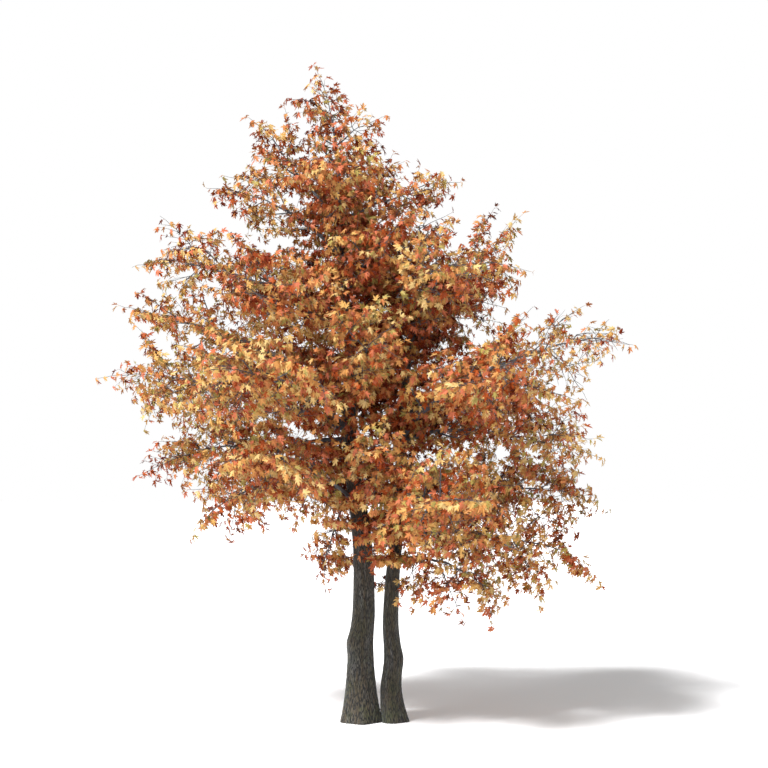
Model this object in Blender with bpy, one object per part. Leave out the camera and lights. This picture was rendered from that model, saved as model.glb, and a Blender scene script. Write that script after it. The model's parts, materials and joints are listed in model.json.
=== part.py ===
"""A two-stemmed maple in autumn leaf, nine metres tall, rooted in level ground.

The foot of the left, larger stem is at the origin, +Z is up, and +X runs to the right stem.
Each limb is one curve from the axis of its stem to the end of its leader. The first stretch of
that curve is the bare bough. The rest, the leader, carries branchlets in opposite pairs: a
twig that forks into a fan of three sprays of leaves. Lengths are in metres, angles in degrees.
"""

import math
import random
from collections import namedtuple

import bpy
import numpy as np
from mathutils import Quaternion, Vector

# Clearance between solids that touch on the real tree
GAP = 0.0003

# A stem's course is the way its axis bends: the height, x and y of each bend. Its radius comes
# from the girth of the clean bole, which tapers to nothing at full_height, and from the flare
# and the lobes of the foot. It is cut at top, where its leader carries on.
Stem = namedtuple("Stem", "course girth full_height top flare flare_height sides lobes")
STEMS = {
    "left_stem": Stem(
        course=(
            (0.0, 0.0, 0.0),
            (1.0, -0.005, 0.01),
            (1.5, 0.035, 0.01),
            (2.4, 0.015, -0.02),
            (3.9, -0.17, 0.03),
            (4.9, -0.15, 0.05),
            (6.2, -0.29, -0.02),
            (7.6, -0.33, 0.03),
            (9.0, -0.50, 0.05),
        ),
        girth=0.178, full_height=9.4, top=7.45, flare=0.102, flare_height=0.45, sides=14, lobes=5,
    ),
    "right_stem": Stem(
        course=(
            (0.0, 0.44, 0.0),
            (0.4, 0.405, 0.01),
            (0.85, 0.43, 0.0),
            (1.35, 0.40, -0.02),
            (2.2, 0.45, -0.03),
            (3.0, 0.56, 0.02),
            (3.8, 0.54, 0.05),
            (4.9, 0.64, 0.0),
            (6.3, 0.80, -0.05),
            (7.7, 0.98, 0.0),
        ),
        girth=0.128, full_height=8.1, top=6.15, flare=0.075, flare_height=0.36, sides=12, lobes=4,
    ),
}
# The feet have grown together, and a plane at this x parts them
SEAM_X = 0.262
LOBE_DEPTH = 0.07
RING_SPACING = 0.42
FOOT_RING_SPACING = 0.16
FOOT_RINGS_TO = 1.2

# A limb leaves its stem at one height with one heading, from +X towards +Y, and its leader ends
# at a level reach from there and a tip height. rise and lift are its slopes at those two ends,
# bare is the share of it that is bough, and spread is how far its side twigs stand out. A limb
# with no bare share is in leaf from the bark of its stem. tint is that of most of its leaves.
Limb = namedtuple("Limb", "name stem leaves heading reach tip rise lift bare spread tint")
LIMBS = (
    Limb("left_peak", "left_stem", 6.80, 180, 0.85, 7.85, 48, 60, 0.0, 0.50, "orange"),
    Limb("left_upper", "left_stem", 6.35, 176, 1.30, 7.18, 42, 12, 0.0, 0.56, "gold"),
    Limb("left_high", "left_stem", 5.46, 184, 2.25, 6.22, 30, 14, 0.34, 0.70, "red"),
    Limb("left_middle", "left_stem", 4.40, 176, 2.50, 5.46, 32, 10, 0.28, 0.80, "gold"),
    Limb("left_lower", "left_stem", 3.95, 188, 2.62, 4.66, 22, 6, 0.20, 0.75, "gold"),
    Limb("left_low", "left_stem", 3.80, 172, 2.20, 3.66, -2, -6, 0.20, 0.66, "orange"),
    Limb("left_drooping", "left_stem", 3.60, 192, 1.78, 2.92, -16, -40, 0.26, 0.38, "orange"),
    Limb("right_peak", "left_stem", 6.75, 8, 1.12, 7.30, 42, 30, 0.0, 0.46, "orange"),
    Limb("right_high", "right_stem", 4.90, 4, 1.12, 6.35, 54, 46, 0.30, 0.60, "red"),
    Limb("right_long", "right_stem", 4.15, 2, 2.55, 5.18, 27, 8, 0.36, 0.58, "gold"),
    Limb("right_middle", "right_stem", 3.75, 352, 2.05, 3.74, 28, -10, 0.20, 0.66, "orange"),
    Limb("right_low", "right_stem", 2.95, 8, 2.14, 3.10, 24, -4, 0.22, 0.70, "orange"),
    Limb("right_bottom", "right_stem", 2.45, 354, 2.14, 2.34, 16, -14, 0.20, 0.68, "gold"),
    Limb("right_drooping", "right_stem", 2.20, 318, 1.40, 1.98, 6, -30, 0.18, 0.50, "orange"),
    Limb("front_top", "left_stem", 6.50, 270, 0.90, 7.30, 50, 25, 0.0, 0.60, "orange"),
    Limb("front_inner_high", "left_stem", 5.65, 300, 1.20, 6.45, 48, 15, 0.0, 0.66, "red"),
    Limb("front_inner_middle", "left_stem", 4.25, 282, 1.50, 5.00, 44, 12, 0.0, 0.68, "orange"),
    Limb("front_inner_low", "right_stem", 2.95, 252, 1.25, 3.50, 40, 8, 0.0, 0.66, "gold"),
    Limb("front_high_left", "left_stem", 5.10, 234, 1.85, 5.62, 36, 6, 0.24, 0.70, "orange"),
    Limb("front_high_right", "right_stem", 5.15, 286, 1.55, 5.95, 42, 15, 0.0, 0.64, "orange"),
    Limb("front_middle_left", "left_stem", 3.95, 240, 2.50, 4.62, 30, 6, 0.22, 0.78, "gold"),
    Limb("front_middle_right", "right_stem", 3.85, 304, 2.35, 4.72, 34, 6, 0.20, 0.76, "red"),
    Limb("front_low_left", "left_stem", 2.95, 234, 2.10, 3.58, 28, -4, 0.22, 0.66, "orange"),
    Limb("front_low_right", "right_stem", 2.60, 290, 2.05, 3.05, 28, -6, 0.22, 0.70, "gold"),
    Limb("back_top", "left_stem", 6.30, 88, 1.00, 7.20, 50, 25, 0.0, 0.62, "red"),
    Limb("back_inner_high", "left_stem", 5.50, 58, 1.25, 6.30, 48, 15, 0.0, 0.64, "orange"),
    Limb("back_inner_middle", "right_stem", 4.40, 104, 1.35, 5.20, 46, 12, 0.0, 0.68, "red"),
    Limb("back_high_left", "left_stem", 5.35, 134, 1.90, 6.10, 38, 12, 0.26, 0.70, "orange"),
    Limb("back_high_right", "right_stem", 5.05, 66, 1.65, 5.90, 42, 15, 0.0, 0.64, "gold"),
    Limb("back_middle_left", "left_stem", 4.15, 122, 2.55, 4.95, 30, 6, 0.24, 0.78, "red"),
    Limb("back_middle_right", "right_stem", 3.75, 56, 2.40, 4.50, 32, 6, 0.24, 0.76, "orange"),
    Limb("back_low_left", "left_stem", 2.95, 138, 2.10, 3.50, 28, -4, 0.22, 0.72, "gold"),
    Limb("back_low_right", "right_stem", 2.55, 46, 2.00, 2.95, 28, -8, 0.22, 0.70, "red"),
    Limb("left_shoots", "left_stem", 2.98, 190, 0.42, 2.26, 0, -62, 0.0, 0.22, "gold"),
    Limb("middle_shoots", "right_stem", 2.90, 236, 0.60, 2.42, 0, -50, 0.0, 0.22, "orange"),
)
# A leader carries on from the cut tip of each stem, to a tip of its own
Top = namedtuple("Top", "name stem x y height spread tint")
TOPS = (
    Top("left_crown", "left_stem", -0.44, 0.05, 8.36, 0.50, "orange"),
    Top("right_crown", "right_stem", 0.80, 0.0, 6.64, 0.48, "red"),
)

BARK = (0.09, 0.075, 0.06)
BARK_ROUGHNESS = 0.9
LEAF_TINTS = {
    "gold": (0.54, 0.29, 0.055),
    "orange": (0.55, 0.15, 0.04),
    "red": (0.36, 0.045, 0.025),
}
LEAF_ROUGHNESS = 0.6

BOUGH_ROOT_RADIUS = 0.014
BOUGH_RADIUS_PER_METRE = 0.0085
LEADER_TIP_RADIUS = 0.006
BOUGH_SIDES = 6
BOUGH_SPACING = 0.50
LEADER_STRETCHES = 3
TWIG_SIDES = 3

# Branchlets: the distance between pairs, how far they fork off the leader, how much the turn of
# a pair round the leader strays, and how short a twig is that stands straight up or down
PAIR_SPACING = 0.36
TWIG_FORK = 54
TURN_STRAY = 30
UPRIGHT_SHARE = 0.66
TWIG_RADIUS = 0.007
# Where along the leader twigs are longest, and how they shorten towards its two ends
SWELL_FROM = 0.30
SWELL_OVER = 0.55
# The twig that carries the leader on beyond its tip, and how deep a twig is sunk in the leader
END_TWIG = 0.10
SUNK = 0.03

# Fans of sprays: how far a fan droops and rolls as a whole, and each spray within it
FAN_DROOPS = (-5, 38)
FAN_ROLL = 45
SPRAY_LENGTH = 0.66
SPRAY_FORK = 75
SPRAY_DROOP = 12
SPRAY_ROLL = 16
# Sprays are shorter in a mass whose spread is less than this
FULL_SPREAD = 0.64
# Where there is no room for a spray it is shortened once or twice, or else left out
SHORTER = (1.0, 0.84, 0.68)
# The outline of a spray, as shares of its length along and across: side lobe, notch and tip
LOBE = (0.54, 0.38)
NOTCH = (0.66, 0.21)
SAG = 0.10
# The crotches where the sprays of a fan part: how far they are from the fork, and how far round
# the two behind it are
CROTCH = 0.02
REAR_CROTCH = 0.010
REAR_ANGLE = 140

# How near a spray may come to the space of the next mass, and to a bare limb
SPACE_MARGIN = 0.03
LIMB_MARGIN = 0.05
# How many branchlets are tried at each place of a leader
TRIES = 3
# How near the sprays of two branchlets of one mass may come
ELBOW_ROOM = 0.06

UP = Vector((0, 0, 1))


def level(heading):
    """The level direction with this heading."""
    return Vector((math.cos(math.radians(heading)), math.sin(math.radians(heading)), 0))


def sloped(heading, slope):
    """The direction with this heading that rises at this slope."""
    return level(heading) * math.cos(math.radians(slope)) + UP * math.sin(math.radians(slope))


def course_at(stem, height):
    """The point of a stem's axis at a height, on a smooth curve through its bends."""
    bends = [Vector((x, y, z)) for z, x, y in stem.course]
    start = min(max(sum(height >= bend.z for bend in bends) - 1, 0), len(bends) - 2)

    def slope(k):
        before = bends[max(k - 1, 0)]
        after = bends[min(k + 1, len(bends) - 1)]
        return (after - before) / (after.z - before.z)

    span = bends[start + 1].z - bends[start].z
    t = (height - bends[start].z) / span
    point = (
        bends[start] * (2 * t**3 - 3 * t**2 + 1)
        + slope(start) * span * (t**3 - 2 * t**2 + t)
        + bends[start + 1] * (3 * t**2 - 2 * t**3)
        + slope(start + 1) * span * (t**3 - t**2)
    )
    return Vector((point.x, point.y, height))


def stem_radius(stem, height):
    """Radius of a stem at a height: the tapering bole and the flare of the foot."""
    bole = stem.girth * (1 - height / stem.full_height) ** 1.1
    return bole + stem.flare * math.exp(-height / stem.flare_height)


def bezier(controls, t):
    """A point of the Bezier curve with these control points."""
    while len(controls) > 1:
        controls = [a.lerp(b, t) for a, b in zip(controls, controls[1:])]
    return controls[0]


def along_path(path, share):
    """The point this share of the way along a path of straight stretches."""
    stretch = min(int(share * (len(path) - 1)), len(path) - 2)
    return path[stretch].lerp(path[stretch + 1], share * (len(path) - 1) - stretch)


def path_length(path):
    return sum((b - a).length for a, b in zip(path, path[1:]))


class Branch:
    """A limb, or the leader on top of a stem: a curve that tapers, with a bare share. Its leader
    is a path of a few straight stretches."""

    def __init__(self, name, controls, bare, spread, radius, root_way=None):
        self.name = name
        self.root_way = root_way
        self.controls = controls
        self.bare = bare
        self.spread = spread
        self.radius = radius
        self.length = path_length([bezier(controls, k / 40) for k in range(41)])
        self.shares = [
            bare + (1 - bare) * k / LEADER_STRETCHES for k in range(LEADER_STRETCHES + 1)
        ]
        self.leader = [bezier(controls, t) for t in self.shares]

    def at(self, t):
        if t <= self.bare:
            return bezier(self.controls, t)
        return along_path(self.leader, (t - self.bare) / (1 - self.bare))

    def way(self, t):
        return (self.at(min(t + 0.01, 1.0)) - self.at(max(t - 0.01, 0.0))).normalized()

    def radius_at(self, t):
        return LEADER_TIP_RADIUS + (self.radius - LEADER_TIP_RADIUS) * (1 - min(t, 1)) ** 0.9


def limb_branch(limb):
    """The curve of a limb, from its stem's axis to the end of its leader."""
    start = course_at(STEMS[limb.stem], limb.leaves)
    end = start + level(limb.heading) * limb.reach
    end.z = limb.tip
    chord = (end - start).length
    controls = [
        start,
        start + sloped(limb.heading, limb.rise) * chord * 0.36,
        end - sloped(limb.heading, limb.lift) * chord * 0.34,
        end,
    ]
    radius = BOUGH_ROOT_RADIUS + BOUGH_RADIUS_PER_METRE * chord
    return Branch(limb.name, controls, limb.bare, limb.spread, radius)


def top_branch(top):
    """The leader that carries a stem on from its cut tip."""
    stem = STEMS[top.stem]
    start = course_at(stem, stem.top)
    way = (start - course_at(stem, stem.top - 0.1)).normalized()
    end = Vector((top.x, top.y, top.height))
    middle = start + way * (end - start).length * 0.5
    radius = stem_radius(stem, stem.top)
    return Branch(top.name, [start, middle, end], 0.0, top.spread, radius, root_way=UP)


def turned(vector, axis, degrees):
    """A vector turned about a unit axis."""
    return Quaternion(axis, math.radians(degrees)) @ vector


class Branchlet:
    """A twig from its root to a fork, and the sprays that fan out there, from right to left. Each
    spray is the way that it points, the way that it faces, and its length."""

    def __init__(self, root, fork, upright, size, draw):
        along = (fork - root).normalized()
        face = (upright - along * upright.dot(along)).normalized()
        face = turned(face, along, draw.uniform(-FAN_ROLL, FAN_ROLL))
        across = along.cross(face)
        droop = draw.uniform(*FAN_DROOPS)
        self.root = root
        self.fork = fork
        self.across = across
        self.along = turned(along, across, -droop)
        self.face = turned(face, across, -droop)
        self.sprays = []
        for side in (1, 0, -1):
            way = turned(self.along, self.face, -side * (SPRAY_FORK + draw.uniform(-3, 3)))
            tilt = way.cross(self.face)
            droop = draw.uniform(-SPRAY_DROOP, SPRAY_DROOP)
            way = turned(way, tilt, -droop)
            face = turned(turned(self.face, tilt, -droop), way, draw.uniform(-SPRAY_ROLL, SPRAY_ROLL))
            self.sprays.append((way, face, size * draw.uniform(0.85, 1.12)))

    def outline(self, spray):
        """The rim of a spray, from its right lobe to its left one."""
        way, face, length = spray
        across = way.cross(face)
        rim = []
        for along, aside in (LOBE, NOTCH, (1, 0), (NOTCH[0], -NOTCH[1]), (LOBE[0], -LOBE[1])):
            sag = SAG * (along**2 + aside**2)
            rim.append(self.fork + (way * along + across * aside - face * sag) * length)
        return rim

    def fit(self, name, crown, taken):
        """Shortens each spray, or leaves it out, until those that stay have room, also from the
        points that the mass's earlier branchlets have taken."""
        twig = [self.root.lerp(self.fork, share) for share in (0, 0.25, 0.5, 0.75, 1)]
        tried = self.sprays if crown.has_room(name, twig) else []
        self.sprays = []
        self.points = []
        for way, face, length in tried:
            for share in SHORTER:
                spray = (way, face, length * share)
                points = spray_samples(self.fork, self.outline(spray))
                if crown.has_room(name, points) and apart(points, taken) > ELBOW_ROOM:
                    self.sprays.append(spray)
                    self.points += points
                    break

    def size(self):
        """How much of the crown the sprays fill."""
        return sum(length**2 for way, face, length in self.sprays)


def spray_samples(fork, rim):
    """Points all over a spray, near enough to each other that no limb passes between them."""
    edge = [a.lerp(b, share) for a, b in zip(rim, rim[1:]) for share in (0, 0.5)]
    return [fork.lerp(p, share) for p in [*edge, rim[-1]] for share in (0.2, 0.4, 0.6, 0.8, 1)]


def apart(points, others):
    """The least distance between two sets of points."""
    if not others:
        return math.inf
    return np.linalg.norm(np.array(points)[:, None] - np.array(others)[None], axis=2).min()


def branchlet_places(branch):
    """Where the branchlets of a mass may grow: opposite pairs along the leader, each pair turned a
    quarter round it from the one before. Each place is the share of the leader that lies before
    it and its turn. The last place carries the leader on, and has no turn."""
    pairs = max(2, round(branch.length * (1 - branch.bare) / PAIR_SPACING))
    places = [(1, None)]
    for pair in range(pairs):
        places += [((pair + 0.3) / pairs, 90 * (pair % 2) + side) for side in (0, 180)]
    return places


def branchlet_at(branch, share, turn, draw):
    """A branchlet at one place of a leader."""
    t = branch.bare + (1 - branch.bare) * share
    root = branch.at(t)
    along = branch.way(t)
    size = SPRAY_LENGTH * min(1, 1 - FULL_SPREAD + branch.spread)
    if turn is None:
        return Branchlet(root - along * SUNK, root + along * END_TWIG, UP, size, draw)
    across = along.cross(UP).normalized()
    over = across.cross(along)
    angle = math.radians(turn + draw.uniform(-TURN_STRAY, TURN_STRAY))
    out = across * math.cos(angle) + over * math.sin(angle)
    swell = math.sin(math.pi * (SWELL_FROM + SWELL_OVER * share))
    upright = 1 - (1 - UPRIGHT_SHARE) * math.sin(angle) ** 2
    length = branch.spread * swell * upright * draw.uniform(0.85, 1.15)
    fork = math.radians(TWIG_FORK + draw.uniform(-6, 6))
    away = along * math.cos(fork) + out * math.sin(fork)
    return Branchlet(root, root + away * length, UP - along * 0.5, size, draw)


def branchlets(branch, crown):
    """The branchlets of a mass: at each place the one that fills most, of a few tries."""
    draw = random.Random(branch.name)
    found = []
    taken = []
    for share, turn in branchlet_places(branch):
        tries = [branchlet_at(branch, share, turn, draw) for _ in range(TRIES)]
        for branchlet in tries:
            branchlet.fit(branch.name, crown, taken)
        best = max(tries, key=Branchlet.size)
        if best.sprays:
            found.append(best)
            taken += best.points
    return found


class Crown:
    """Where the limbs are, which tells whose space a point is in and how near it is to a limb."""

    def __init__(self, branches):
        self.names = [branch.name for branch in branches]
        centres = []
        owners = []
        widths = []
        wood = []
        radii = []
        for k, branch in enumerate(branches):
            for share in np.linspace(0, 1, 8):
                centres.append(branch.at(branch.bare + (1 - branch.bare) * share))
                owners.append(k)
                widths.append(branch.spread + SPRAY_LENGTH / 2)
            for t in np.arange(0, branch.bare, 0.04 / branch.length):
                wood.append(branch.at(t))
                radii.append(branch.radius_at(t))
        for stem in STEMS.values():
            for height in np.arange(0, stem.top, 0.05):
                wood.append(course_at(stem, height))
                radii.append(stem_radius(stem, height))
        self.centres = np.array(centres)
        self.owners = np.array(owners)
        self.widths = np.array(widths)
        self.wood = np.array(wood)
        self.radii = np.array(radii)

    def has_room(self, name, points):
        """True if every point is clear of the limbs, and nearer to this mass's leader than to any
        other, each leader counting for more the wider its mass."""
        points = np.array(points)
        to_wood = np.linalg.norm(points[:, None] - self.wood[None], axis=2) - self.radii
        if to_wood.min() < LIMB_MARGIN:
            return False
        away = np.linalg.norm(points[:, None] - self.centres[None], axis=2) / self.widths
        own = self.owners == self.names.index(name)
        return bool((away[:, own].min(1) + SPACE_MARGIN < away[:, ~own].min(1)).all())


def material(name, colour, roughness):
    made = bpy.data.materials.new(name)
    made.use_nodes = True
    shader = made.node_tree.nodes["Principled BSDF"]
    shader.inputs["Base Color"].default_value = (*colour, 1)
    shader.inputs["Roughness"].default_value = roughness
    shader.inputs["Metallic"].default_value = 0
    return made


def solid(name, points, faces, finish):
    mesh = bpy.data.meshes.new(name)
    mesh.from_pydata([tuple(p) for p in points], [], faces)
    mesh.materials.append(finish)
    return bpy.data.objects.new(name, mesh)


def put(piece, smooth=False):
    """Links a piece to the scene, shaded smooth if it is round."""
    bpy.context.scene.collection.objects.link(piece)
    if smooth:
        piece.data.shade_smooth()
        piece.data.set_sharp_from_angle(angle=math.radians(50))
    return piece


def tube(rings):
    """Points and triangles of a closed tube over rings of points, of which the last may be a
    single point."""
    sides = len(rings[0])
    points = [p for ring in rings for p in ring]
    pointed = len(rings[-1]) == 1
    faces = [(0, k + 1, k) for k in range(1, sides - 1)]
    for r in range(len(rings) - 1):
        start = r * sides
        for k in range(sides):
            a = start + k
            b = start + (k + 1) % sides
            if pointed and r == len(rings) - 2:
                faces.append((a, b, start + sides))
            else:
                faces.append((a, b, b + sides))
                faces.append((a, b + sides, a + sides))
    if not pointed:
        last = (len(rings) - 1) * sides
        faces += [(last, last + k, last + k + 1) for k in range(1, sides - 1)]
    return points, faces


def rings_along(path, radii, sides, first=None, last=None):
    """Rings square to a path, each turned as little as possible from the one before. The first
    and the last may be given ways to face."""
    ways = [b - a for a, b in zip([path[0], *path], [*path[1:], path[-1]])]
    ways = [a + b for a, b in zip(ways, [*ways[1:], ways[-1]])]
    ways[0] = first or ways[0]
    ways[-1] = last or ways[-1]
    rings = []
    across = None
    for centre, way, radius in zip(path, ways, radii):
        along = way.normalized()
        if across is None:
            across = along.cross(Vector((0.1, 1, 0.3)))
        across = (across - along * across.dot(along)).normalized()
        over = along.cross(across)
        angles = [2 * math.pi * side / sides for side in range(sides)]
        rings.append([centre + (across * math.cos(a) + over * math.sin(a)) * radius for a in angles])
    return rings


def stem_rings(stem, side, swell=0.0):
    """The level rings of a stem, lobed at the foot and flat where the feet have grown together.
    side is -1 for the stem left of the seam and 1 for the stem right of it."""
    foot = int(FOOT_RINGS_TO / FOOT_RING_SPACING)
    heights = [FOOT_RING_SPACING * k for k in range(foot)]
    upper = round((stem.top - heights[-1]) / RING_SPACING)
    heights += [heights[-1] + (stem.top - heights[-1]) * (k + 1) / upper for k in range(upper)]
    seam = SEAM_X + side * GAP / 2
    rings = []
    for height in heights:
        centre = course_at(stem, height)
        radius = stem_radius(stem, height) + swell
        depth = LOBE_DEPTH * math.exp(-height / stem.flare_height)
        ring = []
        for k in range(stem.sides):
            angle = 2 * math.pi * k / stem.sides
            lobed = radius * (1 + depth * math.cos(stem.lobes * angle + 1.0))
            point = centre + level(math.degrees(angle)) * lobed
            point.x = side * max(side * point.x, side * seam)
            ring.append(point)
        rings.append(ring)
    return rings


def make_stem(name, side, bark):
    """A stem from its flat cut at ground level to its cut tip. Also returns a copy swollen by the
    gap, which trims its boughs."""
    stem = STEMS[name]
    put(solid(name, *tube(stem_rings(stem, side)), bark), smooth=True)
    swell = GAP / math.cos(math.pi / stem.sides)
    cutter = put(solid(name + "_cutter", *tube(stem_rings(stem, side, swell)), bark))
    cutter.hide_render = True
    cutter.display_type = "WIRE"
    return cutter


def trim(piece, cutter):
    """Cuts a piece off at the bark of the stem that it grows from."""
    cut = piece.modifiers.new("trim to the bark", "BOOLEAN")
    cut.operation = "DIFFERENCE"
    cut.solver = "EXACT"
    cut.object = cutter


def make_bough(branch, cutter, bark):
    """A bare bough: one tapering limb from the bark of its stem to where its leaves begin."""
    count = round(branch.length * branch.bare / BOUGH_SPACING) + 3
    shares = [branch.bare * k / (count - 1) for k in range(count)]
    path = [branch.at(t) for t in shares]
    radii = [branch.radius_at(t) for t in shares]
    rings = rings_along(path, radii, BOUGH_SIDES, last=branch.way(branch.bare))
    trim(put(solid(branch.name + "_bough", *tube(rings), bark), smooth=True), cutter)


def leader_solid(branch, leaf):
    """The leader of a mass, whose root is parallel to the end of its bough or stem and a hair
    clear of it."""
    path = list(branch.leader)
    first = branch.root_way or branch.way(branch.bare)
    path[0] = path[0] + first * GAP
    radii = [branch.radius_at(t) for t in branch.shares]
    rings = rings_along(path, radii, TWIG_SIDES, first=first)
    return solid(branch.name + "_leaves", *tube(rings), leaf)


def branchlet_solid(branchlet, leaf):
    """A branchlet as one thin solid: thick along its twig and at its fork, sharp at the rims of
    its sprays."""
    fork = branchlet.fork
    up = branchlet.face * TWIG_RADIUS
    rear = [
        fork + turned(branchlet.along, branchlet.face, angle) * REAR_CROTCH
        for angle in (-REAR_ANGLE, REAR_ANGLE)
    ]
    rim = [rear[0]]
    for k, spray in enumerate(branchlet.sprays):
        if k > 0:
            rim.append(fork + (branchlet.sprays[k - 1][0] + spray[0]).normalized() * CROTCH)
        rim += branchlet.outline(spray)
    rim.append(rear[1])
    points = [branchlet.root + up, branchlet.root - up, fork + up, fork - up, *rim]
    root_top, root_under, top, under, first = range(5)
    last = len(points) - 1
    faces = []
    for a in range(first, last):
        faces.append((top, a, a + 1))
        faces.append((under, a + 1, a))
    faces.append((top, last, root_top))
    faces.append((top, root_top, first))
    faces.append((under, root_under, last))
    faces.append((under, first, root_under))
    faces.append((root_top, last, root_under))
    faces.append((first, root_top, root_under))
    return solid("branchlet", points, faces, leaf)


def fuse(core, pieces):
    """Joins the twigs and sprays of a mass to its leader, so that it is one closed solid."""
    group = bpy.data.collections.new("pieces")
    bpy.context.scene.collection.children.link(group)
    for piece in pieces:
        group.objects.link(piece)
    union = core.modifiers.new("fuse", "BOOLEAN")
    union.operation = "UNION"
    union.operand_type = "COLLECTION"
    union.collection = group
    union.solver = "MANIFOLD"
    graph = bpy.context.evaluated_depsgraph_get()
    fused = bpy.data.meshes.new_from_object(core.evaluated_get(graph))
    core.modifiers.clear()
    core.data = fused
    for piece in pieces:
        bpy.data.objects.remove(piece)
    bpy.data.collections.remove(group)


def make_mass(branch, crown, leaf):
    """A mass of leaves: its leader and its branchlets."""
    pieces = [branchlet_solid(branchlet, leaf) for branchlet in branchlets(branch, crown)]
    mass = put(leader_solid(branch, leaf))
    fuse(mass, pieces)
    return mass


def main():
    for old in list(bpy.data.objects):
        bpy.data.objects.remove(old)
    bark = material("bark", BARK, BARK_ROUGHNESS)
    leaves = {
        tint: material("leaves_" + tint, colour, LEAF_ROUGHNESS)
        for tint, colour in LEAF_TINTS.items()
    }
    cutters = {
        "left_stem": make_stem("left_stem", -1, bark),
        "right_stem": make_stem("right_stem", 1, bark),
    }
    limbs = [limb_branch(limb) for limb in LIMBS]
    tops = [top_branch(top) for top in TOPS]
    crown = Crown([*limbs, *tops])
    for limb, branch in zip(LIMBS, limbs):
        mass = make_mass(branch, crown, leaves[limb.tint])
        if limb.bare:
            make_bough(branch, cutters[limb.stem], bark)
        else:
            trim(mass, cutters[limb.stem])
    for top, branch in zip(TOPS, tops):
        make_mass(branch, crown, leaves[top.tint])


main()
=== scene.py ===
"""A two-stemmed maple in autumn leaf, nine metres tall, rooted in level ground.

The foot of the larger stem is at the origin, +Z is up, +X runs to the smaller stem, and the tree
is seen from -Y. Lengths are in metres and angles in degrees.
"""

import json
import math
import random
from collections import namedtuple

import bpy
import numpy as np
from mathutils import Matrix, Quaternion, Vector, noise

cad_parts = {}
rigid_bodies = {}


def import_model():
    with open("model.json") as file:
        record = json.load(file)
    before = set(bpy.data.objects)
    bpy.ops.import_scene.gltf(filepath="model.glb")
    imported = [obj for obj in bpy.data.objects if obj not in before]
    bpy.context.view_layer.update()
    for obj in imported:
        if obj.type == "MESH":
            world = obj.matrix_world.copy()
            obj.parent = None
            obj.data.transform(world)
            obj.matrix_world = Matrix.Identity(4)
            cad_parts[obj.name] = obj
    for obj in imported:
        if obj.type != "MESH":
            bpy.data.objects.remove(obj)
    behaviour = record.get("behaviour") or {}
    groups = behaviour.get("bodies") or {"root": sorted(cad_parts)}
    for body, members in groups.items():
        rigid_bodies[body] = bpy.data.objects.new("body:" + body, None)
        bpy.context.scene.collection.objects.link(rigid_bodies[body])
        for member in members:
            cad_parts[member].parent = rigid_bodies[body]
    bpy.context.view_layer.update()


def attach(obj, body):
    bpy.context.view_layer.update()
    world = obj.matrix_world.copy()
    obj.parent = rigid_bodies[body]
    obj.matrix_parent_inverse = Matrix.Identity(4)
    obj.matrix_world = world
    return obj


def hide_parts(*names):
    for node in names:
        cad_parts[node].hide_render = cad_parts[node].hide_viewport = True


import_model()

# Stems
# Two living stems of one root, solid wood under a dark bark that has split into long upright
# plates. Their feet flare into the roots and have grown together. Both are cut level with the
# ground, and taper from there to where their leaders carry on.

UP = Vector((0, 0, 1))
# The two feet meet at this seam. Their roots flute them this deep, turned by these radians
SEAM_X = 0.262
LOBE_DEPTH = 0.07
LOBE_TURN = 1.0
# A stem's course is the height, x and y of its bends. Its radius is its girth, which tapers to
# nothing at its full height, and its flare. Its knee is a swelling: height, heading and size
TAPER = 1.1
Stem = namedtuple("Stem", "course girth full_height top flare flare_height lobes knee")
STEMS = {
    "left_stem": Stem(
        course=(
            (0.0, 0.0, 0.0), (1.0, -0.005, 0.01), (1.5, 0.035, 0.01), (2.4, 0.015, -0.02),
            (3.9, -0.17, 0.03), (4.9, -0.15, 0.05), (6.2, -0.29, -0.02), (7.6, -0.33, 0.03),
            (9.0, -0.50, 0.05),
        ),
        girth=0.178, full_height=9.4, top=7.45, flare=0.102, flare_height=0.45, lobes=5,
        knee=(1.05, 190, 0.028),
    ),
    "right_stem": Stem(
        course=(
            (0.0, 0.44, 0.0), (0.4, 0.405, 0.01), (0.85, 0.43, 0.0), (1.35, 0.40, -0.02),
            (2.2, 0.45, -0.03), (3.0, 0.56, 0.02), (3.8, 0.54, 0.05), (4.9, 0.64, 0.0),
            (6.3, 0.80, -0.05), (7.7, 0.98, 0.0),
        ),
        girth=0.128, full_height=8.1, top=6.15, flare=0.075, flare_height=0.36, lobes=4,
        knee=(0.83, -10, 0.024),
    ),
}
KNEE_SPREAD = 0.13
# The faces of the surface under the bark: their width, and their heights at foot and top
FACE_WIDTH = 0.0062
FACE_HEIGHTS = (0.012, 0.026)
# The bark's pattern is drawn as if every stem were this thick, and this far to each side, so that
# the stems don't share it
PATTERN_GIRTH = 0.17
PATTERN_SHIFT = 2.0
# A plate's width and length. Counted in plates, the noise that bends them, how far it does, and
# the width of a fissure
PLATE = (0.0145, 0.12)
BEND_SCALE = 0.55
PLATE_BEND = 1.6
FISSURE = 0.20
# The depth of the relief as a share of the radius, what its grain adds to it, and how high up
# it the smooth surface lies
BARK_DEPTH_SHARE = 0.048
GRAIN_SHARE = 0.5
SMOOTH_LEVEL = 0.9


def level(heading):
    """The level direction with this heading, from +X towards +Y."""
    return Vector((math.cos(math.radians(heading)), math.sin(math.radians(heading)), 0))


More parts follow.
